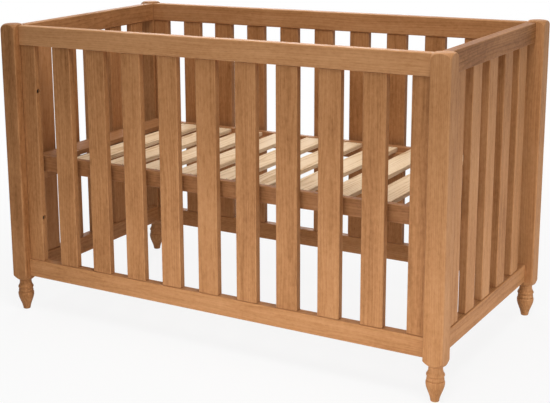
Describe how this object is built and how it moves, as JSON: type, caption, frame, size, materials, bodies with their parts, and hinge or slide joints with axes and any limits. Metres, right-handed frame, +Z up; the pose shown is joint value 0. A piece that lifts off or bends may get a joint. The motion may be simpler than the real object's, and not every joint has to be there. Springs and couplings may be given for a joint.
{
  "type": "baby crib",
  "caption": "Slatted wooden crib on turned feet, with a height-adjustable slatted mattress base between four square posts.",
  "frame": {"origin": "on the floor, under the middle of the crib", "axes": "+X along the crib's length, +Y from the front side to the rear side, +Z up"},
  "size_m": [1.3, 0.711, 0.824],
  "materials": {
    "stained_post": "satin brown stain",
    "stained_rail": "satin brown stain",
    "stained_slat": "satin brown stain",
    "stained_base": "satin brown stain",
    "pale_pine": "planed, unfinished"
  },
  "bodies": {
    "crib_frame": {"bottom_rail_front": "stained_rail", "bottom_rail_left": "stained_rail", "bottom_rail_rear": "stained_rail", "bottom_rail_right": "stained_rail", "post_front_left": "stained_post", "post_front_right": "stained_post", "post_rear_left": "stained_post", "post_rear_right": "stained_post", "slat_front_1": "stained_slat", "slat_front_2": "stained_slat", "slat_front_3": "stained_slat", "slat_front_4": "stained_slat", "slat_front_5": "stained_slat", "slat_front_6": "stained_slat", "slat_front_7": "stained_slat", "slat_front_8": "stained_slat", "slat_front_9": "stained_slat", "slat_left_1": "stained_slat", "slat_left_2": "stained_slat", "slat_left_3": "stained_slat", "slat_left_4": "stained_slat", "slat_left_5": "stained_slat", "slat_rear_1": "stained_slat", "slat_rear_2": "stained_slat", "slat_rear_3": "stained_slat", "slat_rear_4": "stained_slat", "slat_rear_5": "stained_slat", "slat_rear_6": "stained_slat", "slat_rear_7": "stained_slat", "slat_rear_8": "stained_slat", "slat_rear_9": "stained_slat", "slat_right_1": "stained_slat", "slat_right_2": "stained_slat", "slat_right_3": "stained_slat", "slat_right_4": "stained_slat", "slat_right_5": "stained_slat", "stile_front_left": "stained_slat", "stile_front_right": "stained_slat", "stile_rear_left": "stained_slat", "stile_rear_right": "stained_slat", "top_rail_front": "stained_rail", "top_rail_left": "stained_rail", "top_rail_rear": "stained_rail", "top_rail_right": "stained_rail"},
    "mattress_base": {"base_bearer_left": "stained_base", "base_bearer_right": "stained_base", "base_end_board_left": "stained_base", "base_end_board_right": "stained_base", "base_rail_front": "stained_base", "base_rail_rear": "stained_base", "base_slat_1": "pale_pine", "base_slat_2": "pale_pine", "base_slat_3": "pale_pine", "base_slat_4": "pale_pine", "base_slat_5": "pale_pine", "base_slat_6": "pale_pine", "base_slat_7": "pale_pine", "base_slat_8": "pale_pine", "base_slat_9": "pale_pine"}
  },
  "joints": [
    {"name": "base_height", "type": "slide", "parent": "crib_frame", "child": "mattress_base", "axis": [0, 0, 1], "range_m": [-0.232, 0]}
  ]
}
